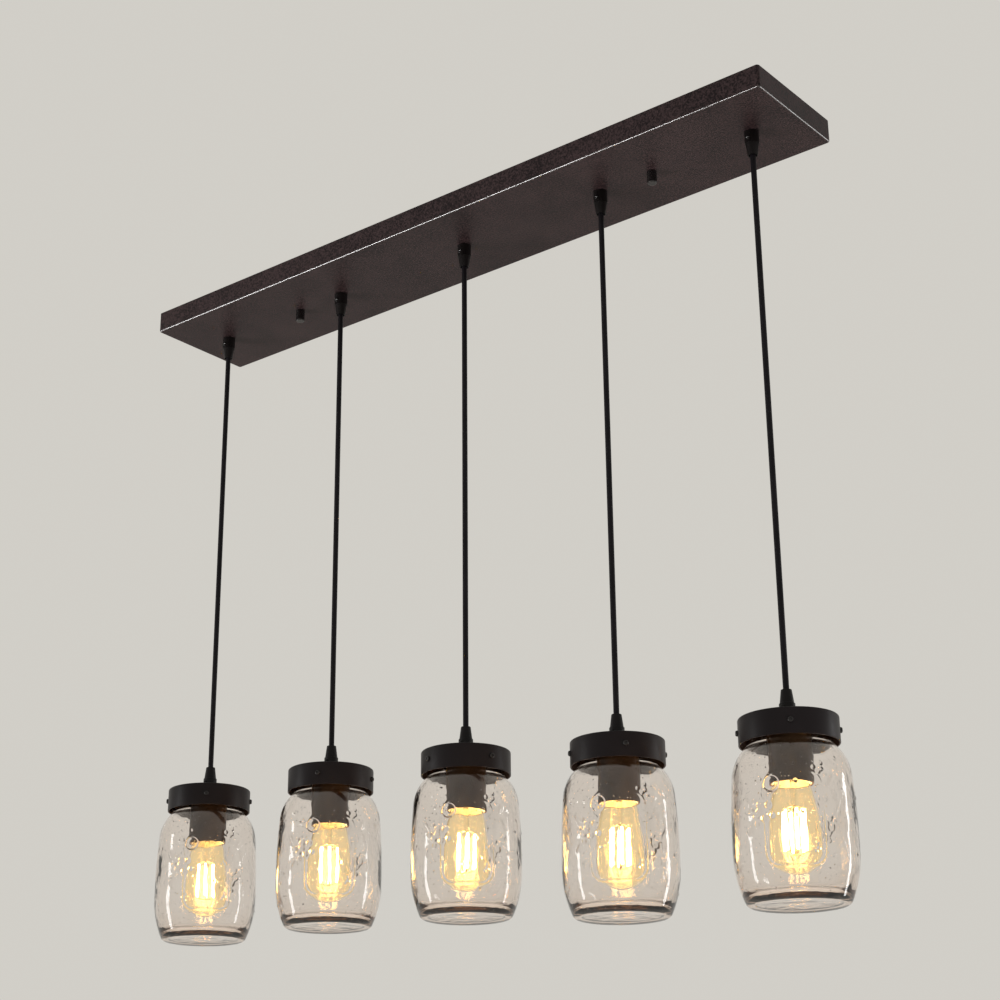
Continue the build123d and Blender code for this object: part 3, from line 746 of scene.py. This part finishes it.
def jarRelief(j, s, number, angle, depth):
    # The pattern stands on the front and again on the back, with seeds strewn all round
    random = np.random.default_rng(j["firstSeed"] + number)
    twist = random.uniform(-j["frontSpread"], j["frontSpread"])
    turn = angle - math.radians(j["frontAngles"][number - 1] + twist)
    relief = np.zeros(np.broadcast(angle, depth).shape)
    for half in (0, math.pi):
        relief = np.maximum(relief, mouldPattern(s, roundBody(j, turn + half), depth, random))
    seeds = [(random.uniform(-math.pi, math.pi) * j["bodyRadius"],
              random.uniform(s["seedTop"], s["seedEnd"]), random.uniform(*s["seedRadius"]))
             for _ in range(s["seedCount"])]
    return np.maximum(relief, s["beadShare"] * domes(roundBody(j, turn), depth, seeds))


def roundAxis(profile, radial):
    # Each profile point (r, z) along each of the outward directions
    return profile[:, None, :1] * radial + profile[:, None, 1:] * np.array([0, 0, 1.0])


def jarOutside(j, s, number, angle, radial):
    # The relief moves each point of the side along the outline's own normal
    rim = jarRim(j)
    side = jarSide(j, 0, j["baseRadius"], j["bottom"], j["outerRows"])
    under = domedFloor(j["baseRadius"], -j["bottom"], j["pushUp"], 1, j["floorRows"])
    along = np.gradient(side, axis=0)
    normal = np.stack([-along[:, 1], along[:, 0]], 1)
    normal /= np.linalg.norm(normal, axis=1)[:, None]
    depth = -side[:, 1:2]
    fade = faded(depth, j["neckEnd"], j["bottom"] - j["fadeOut"], j["fadeIn"], j["fadeOut"])
    relief = jarRelief(j, s, number, angle[None, :], depth) * fade
    out = roundAxis(np.concatenate([rim[:-1], side, under]), radial)
    start = len(rim) - 1
    out[start:start + len(side)] += (relief * normal[:, 0:1])[..., None] * radial
    out[start:start + len(side), :, 2] += relief * normal[:, 1:2]
    return out


def jarInside(j, number, angle, radial):
    # The pressed inside is a little wavy: slow sines round and down the wall
    edge, bottom = j["baseRadius"] - j["wall"], j["bottom"] - j["floor"]
    side = jarSide(j, j["wall"], edge, bottom, j["innerRows"])
    floor = domedFloor(edge, -bottom, j["floorDome"], 2, j["floorRows"])
    within = roundAxis(np.concatenate([side, floor]), radial)
    depth = -within[..., 2]
    wave = sum(share * np.sin(turns * angle + twist * number) * np.sin(depth / length + shift * number)
               for turns, twist, length, shift, share in j["waves"])
    calm = faded(depth, j["neckEnd"], bottom, j["calmIn"], j["fadeOut"])
    within[..., :2] += (j["waveHeight"] * wave * calm)[..., None] * radial[:, :2]
    return within


def jarGrid(j, s, number):
    # Columns stand closer at the pattern's front and back: the angle runs ahead by a sine of itself
    even = fullTurn(j["columns"])
    angle = math.radians(j["frontAngles"][number - 1]) + even - j["crowding"] / 2 * np.sin(2 * even)
    radial = ringPoints(1, angle, 0)
    within = jarInside(j, number, angle, radial)
    return np.concatenate([within[::-1], jarOutside(j, s, number, angle, radial)[1:]]), False, True


for number in pendantNumbers:
    x, y, _, capTop = centreOf(f"jar_cap_{number}")
    glass = moved(jarGrid(jarSettings, patternSettings, number), x, y, capTop)
    glass[0][..., 0] = np.clip(glass[0][..., 0], cadLow[0], cadHigh[0])  # beads stop at the object's ends
    makePiece(f"jarGlass{number}", [glass], jarGlass,
              f"pendant_{number}", [f"jar_{number}"], sharpAngle=70.0)
print("jars made")


# Lamps: a screw base, a clear pear-shaped envelope, and upright light filaments on a glass stem.
# Steps are (radius, depth) from one corner of the base's top to the next.

lampSettings = {
    "baseTop": 0.0261, "contactRadius": 0.0045, "contactStep": (0.0006, 0.001), "domeStep": (0.0024, 0.0035),
    "baseRadius": 0.013, "baseEnd": 0.0521, "edge": 0.0004,
    "threadPitch": 0.003629, "threadDepth": 0.0009, "threadTop": 0.031, "threadEnd": 0.048,
    "threadFade": 0.002, "threadRows": 90,
    "glassTop": 0.0524, "neckRadius": 0.0172, "neckLength": 0.0092, "radius": 0.0238, "tip": 0.1445,
    "wall": 0.0011, "outerRows": 90, "innerRows": 70, "glassSegments": 128,
    "filamentTop": 0.084, "filamentLength": 0.037, "filamentRadius": 0.0014, "filamentCount": 6,
    "filamentInset": 0.001, "circleRadius": 0.0095, "filamentTurn": 15.0,
    "stemTopRadius": 0.006, "stemRadius": 0.0022, "stemFlare": 0.006, "stemBend": 0.004, "stemEnd": 0.004,
    "stemRound": 0.0015, "stemTip": 0.002, "stemSegments": 48,
    "wireRadius": 0.00035, "armRise": 0.003, "hubRadius": 0.0012, "armPoints": 7}


def lampSide(s, inset, count):
    # A sloped neck, a long arc to the widest place and a round end
    seat = np.array([[s["baseRadius"] - inset, -s["glassTop"]]])
    neck = (s["neckRadius"] - inset, -s["glassTop"] - s["neckLength"])
    widest = (s["radius"] - inset, s["radius"] - s["tip"])
    side = arcFrom(widest, (0, 1), neck, count)
    end = arcPoints((0, widest[1]), widest[0], 0, -math.pi / 2, count)
    return evened(np.concatenate([seat, side[::-1], end[1:]]), count)


def lampEnvelope(s):
    outside = lampSide(s, 0, s["outerRows"])
    inside = lampSide(s, s["wall"], s["innerRows"])[::-1]
    return turned(np.concatenate([inside, outside]), s["glassSegments"])


def threadedShell(s):
    # A turned shell whose radius dips with a screw thread: the dip is a cosine of the angle plus
    # a full turn for each pitch of depth
    angle = fullTurn(shared["turnSegments"])
    depth = np.linspace(s["threadTop"], s["threadEnd"], s["threadRows"])[:, None]
    fade = faded(depth, s["threadTop"], s["threadEnd"], s["threadFade"], s["threadFade"])
    groove = 0.5 - 0.5 * np.cos(2 * math.pi * depth / s["threadPitch"] + angle)
    r = s["baseRadius"] - s["threadDepth"] * groove * fade
    wall = ringPoints(r, angle, -depth)
    contact, dome = s["contactStep"], s["domeStep"]
    above = roundedProfile([(0, -s["baseTop"], 0), (s["contactRadius"], -s["baseTop"], s["edge"]),
                            (s["contactRadius"] + contact[0], -s["baseTop"] - contact[1], 0),
                            (s["baseRadius"] - dome[0], -s["baseTop"] - dome[1], s["edge"]),
                            (s["baseRadius"], -s["threadTop"], 0)])
    below = np.array([(s["baseRadius"], -s["baseEnd"]), (0, -s["baseEnd"])])
    return np.concatenate([turned(above[:-1])[0], wall, turned(below)[0]]), False, True


def filamentWays(s):
    # The level directions of the filaments from the lamp's axis
    a = math.radians(s["filamentTurn"]) + 2 * math.pi * np.arange(s["filamentCount"]) / s["filamentCount"]
    return ringPoints(1, a, 0)


def filamentRods(s):
    top, low = s["filamentTop"], s["filamentTop"] + s["filamentLength"]
    heights = (-top - s["filamentInset"], -(top + low) / 2, s["filamentInset"] - low)
    return [tube([s["circleRadius"] * out + (0, 0, z) for z in heights], s["filamentRadius"], 12)
            for out in filamentWays(s)]


def filamentWires(s):
    # Arms bend out from the stem's foot and from a lower hub to each filament's ends, and a mast
    # joins the two
    top, low = s["filamentTop"], s["filamentTop"] + s["filamentLength"]
    share = np.linspace(0, 1, s["armPoints"])[:, None]
    reach = s["hubRadius"] + (s["circleRadius"] - s["hubRadius"]) * share
    wires = []
    for out in filamentWays(s):
        for depth, rise in ((top, s["armRise"]), (low, -s["armRise"])):
            path = out * reach + np.array([0, 0, 1.0]) * (rise * np.cos(share * math.pi / 2) - depth)
            wires.append(tube(path, s["wireRadius"], 8, 2))
    mast = [(0, 0, s["stemEnd"] - top), (0, 0, -(top + low) / 2), (0, 0, -low - s["armRise"])]
    return wires + [tube(mast, 2 * s["wireRadius"], 10, 2)]


def glassStem(s):
    return turned(roundedProfile([
        (0, -s["glassTop"], 0), (s["stemTopRadius"], -s["glassTop"], s["edge"]),
        (s["stemRadius"], -s["glassTop"] - s["stemFlare"], s["stemBend"]),
        (s["stemRadius"], s["stemEnd"] - s["filamentTop"], s["stemRound"]),
        (0, s["stemTip"] - s["filamentTop"], 0)]), s["stemSegments"])


lightSettings = {"power": 2.2, "radius": 0.011, "colour": (1.0, 0.74, 0.40), "depth": 0.102}


def makeLampLight(settings, number):
    x, y, _, capTop = centreOf(f"jar_cap_{number}")
    data = bpy.data.lights.new(f"lampLight{number}", "POINT")
    data.energy, data.shadow_soft_size = settings["power"], settings["radius"]
    data.color = settings["colour"]
    lamp = newObject(f"lampLight{number}", data)
    lamp.location = (x, y, capTop - settings["depth"])
    lamp.visible_camera = lamp.visible_glossy = lamp.visible_transmission = False
    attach(lamp, f"bulb_{number}")


for number in pendantNumbers:
    pendantPiece("lampBase", number, [threadedShell(lampSettings)], nickelBrass, "bulb",
                 "bulb_base")
    pendantPiece("lampEnvelope", number, [lampEnvelope(lampSettings)], lampGlass, "bulb",
                 "bulb_glass", sharpAngle=80.0)
    pendantPiece("lampStem", number, [glassStem(lampSettings)], stemGlass, "bulb")
    pendantPiece("filamentWires", number, filamentWires(lampSettings), nickelBrass, "bulb")
    pendantPiece("filaments", number, filamentRods(lampSettings), filamentGlow, "bulb",
                 "filament")
    makeLampLight(lightSettings, number)
print("lamps made")


# Cord tails: up through a grip, over, down to the canopy's floor and along to the terminal block

tailSettings = {"radius": 0.0029, "turnY": 0.022, "slope": 0.0001, "laneOffset": 0.0046, "sideStep": 0.014,
                "frontStep": 0.006, "entry": 0.0037, "floorGap": 0.0004, "canopyWall": 0.0015,
                "boreEnd": -0.014, "segments": 20, "resolution": 10}


def splinePoints(name, points, resolution):
    # Points read from the smooth line that these control points draw
    curve = bpy.data.curves.new(name, "CURVE")
    curve.dimensions, curve.resolution_u = "3D", resolution
    spline = curve.splines.new("NURBS")
    spline.points.add(len(points) - 1)
    for point, place in zip(spline.points, points):
        point.co = (*place, 1)
    spline.order_u, spline.use_endpoint_u = 3, True
    holder = bpy.data.objects.new(name, curve)
    mesh = bpy.data.meshes.new_from_object(holder)
    line = np.empty(3 * len(mesh.vertices))
    mesh.vertices.foreach_get("co", line)
    bpy.data.objects.remove(holder)
    bpy.data.meshes.remove(mesh)
    bpy.data.curves.remove(curve)
    return line.reshape(-1, 3)


def tailRoute(t, number):
    # Out of the grip's bore and over, then into one of the block's five entries: the middle tail
    # comes in from the front, the others from the sides in a front and a back lane
    low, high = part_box("cord_tails")
    blockLow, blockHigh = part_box("terminal_block")
    x = centreOf(f"cord_bushing_{number}")[0]
    topZ = high.z - t["radius"]
    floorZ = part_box("canopy")[0].z + t["canopyWall"] + t["floorGap"] + t["radius"]
    start = [(x, 0, low.z), (x, 0, t["boreEnd"]), (x, 0, topZ - t["slope"]), (x, t["turnY"], topZ)]
    middle = (len(pendantNumbers) + 1) // 2
    if number == middle:
        entryY = blockLow.y + t["entry"]
        return start + [(x, entryY - t["frontStep"], floorZ), (x, entryY, floorZ)]
    side = 1 if x > 0 else -1
    lane = -1 if abs(number - middle) == 2 else 1
    laneY = (blockLow.y + blockHigh.y) / 2 + lane * t["laneOffset"]
    endX = blockHigh.x - t["entry"] if side > 0 else blockLow.x + t["entry"]
    return start + [(x - side * t["sideStep"], laneY, floorZ), (endX, laneY, floorZ)]


tails = []
for number in pendantNumbers:
    line = splinePoints(f"tailRoute{number}", tailRoute(tailSettings, number), tailSettings["resolution"])
    tails.append(tube(line, tailSettings["radius"], tailSettings["segments"], 1))
makePiece("cordTails", tails, cordCover, "root", ["cord_tails"])
print("cord tails made")


# Canopy and what it holds keep their solids, with a finish for each

finishes = {"canopy": bronzePaint, "crossbar": zincSteel, "crossbar_studs": zincSteel,
            "stud_nuts": zincSteel, "cap_nuts": blackSteel, "ground_screw": groundGreen,
            "canopy_grips": blackPlastic, "grip_nuts": zincSteel, "terminal_block": terminalPlastic}
finishes.update({f"cord_bushing_{number}": bushingRubber for number in pendantNumbers})
for node, finish in finishes.items():
    mesh = frame["nodes"][node].data
    mesh.materials.clear()
    mesh.materials.append(finish)
print("solids finished")


# Studio: a pale floor far below, a pale surround and soft lights

studioSettings = {"floorZ": -1.95, "floorHalf": 6.0, "floorColour": (0.66, 0.64, 0.60),
                  "floorRoughness": 0.8, "floorGlow": 0.42, "backColour": (0.64, 0.62, 0.575),
                  "skyLight": (1.0, 0.98, 0.95), "skyStrength": 0.55}


def seenDirectly(tree):
    # One for rays that come from the camera, off gloss or through glass, and nothing for light
    path = tree.nodes.new("ShaderNodeLightPath")
    share = path.outputs["Is Camera Ray"]
    for kind in ("Is Glossy Ray", "Is Transmission Ray"):
        either = tree.nodes.new("ShaderNodeMath")
        either.operation = "MAXIMUM"
        tree.links.new(share, either.inputs[0])
        tree.links.new(path.outputs[kind], either.inputs[1])
        share = either.outputs[0]
    return share


def makeSurround(s):
    # Things are lit by the sky's light and strength, and what they stand before is the backdrop
    world = bpy.data.worlds.new("studio")
    bpy.context.scene.world = world
    world.use_nodes = True
    nodes, links = world.node_tree.nodes, world.node_tree.links
    sky = nodes["Background"]
    sky.inputs["Color"].default_value = (*s["skyLight"], 1)
    sky.inputs["Strength"].default_value = s["skyStrength"]
    seen = nodes.new("ShaderNodeBackground")
    seen.inputs["Color"].default_value = (*s["backColour"], 1)
    mix = nodes.new("ShaderNodeMixShader")
    links.new(seenDirectly(world.node_tree), mix.inputs[0])
    links.new(sky.outputs[0], mix.inputs[1])
    links.new(seen.outputs[0], mix.inputs[2])
    links.new(mix.outputs[0], nodes["World Output"].inputs["Surface"])


def makeFloor(s):
    # The floor shows a share of the backdrop's colour besides its own, and keeps its shadows
    half, z = s["floorHalf"], s["floorZ"]
    mesh = bpy.data.meshes.new("studioFloor")
    corners = [(-half, -half, z), (half, -half, z), (half, half, z), (-half, half, z)]
    mesh.from_pydata(corners, [], [(0, 1, 2, 3)])
    floor = newObject("studioFloor", mesh)
    material, shader = newMaterial("studioFloor", Base_Color=(*s["floorColour"], 1),
                                   Roughness=s["floorRoughness"], Emission_Color=(*s["backColour"], 1))
    glow = addMath(material, "MULTIPLY", seenDirectly(material.node_tree), s["floorGlow"])
    join(material, glow, shader.inputs["Emission Strength"])
    mesh.materials.append(material)


def makeSoftLight(name, place, target, size, power, shows, side=None, spread=180):
    # Big lights only light. A strip also shows as a streak where the object is glossy. Side is the
    # way of the light's first size, level unless it is given.
    data = bpy.data.lights.new(name, "AREA")
    data.spread = math.radians(spread)
    data.shape, data.size, data.size_y = "RECTANGLE", size[0], size[1]
    data.energy = power
    light = newObject(name, data)
    light.location = place
    light.visible_camera = light.visible_transmission = False
    light.visible_glossy = shows
    way = np.array(target, float) - np.array(place, float)
    back = -way / np.linalg.norm(way)
    side = np.cross([0, 0, 1.0], back) if side is None else side - np.dot(side, back) * back
    side /= np.linalg.norm(side)
    axes = np.stack([side, np.cross(back, side), back], 1)
    light.rotation_mode = "QUATERNION"
    light.rotation_quaternion = Matrix(axes.tolist()).to_quaternion()


makeSurround(studioSettings)
makeFloor(studioSettings)
makeSoftLight("keyLight", (-1.6, -2.2, -0.1), (0, 0, -0.5), (1.2, 1.6), 24, False)
makeSoftLight("rightLight", (1.3, -0.3, -1.2), (0.45, 0, 0), (0.7, 0.7), 12, False)
makeSoftLight("backLight", (0.6, 2.4, 0.4), (0, 0, -0.5), (1.6, 1.0), 18, False)
makeSoftLight("leftStrip", (-1.87, -1.51, -0.75), (0, 0, -0.6), (0.3, 1.5), 12, True)
makeSoftLight("rightStrip", (1.67, 1.73, -0.75), (0, 0, -0.6), (0.26, 1.5), 10, True)
# This strip makes the bright line along the canopy's lower front edge
makeSoftLight("edgeStrip", (-0.88, -1.01, -1.01), (0, -0.069, -0.025), (1.3, 0.2), 2.2, True,
              side=(0.776, -0.44, -0.44), spread=44)
print("studio lit")

scene = bpy.context.scene
scene.view_settings.view_transform = "Standard"
lightBounces = 24  # light crosses many walls of glass
scene.cycles.max_bounces, scene.cycles.transmission_bounces = lightBounces, lightBounces
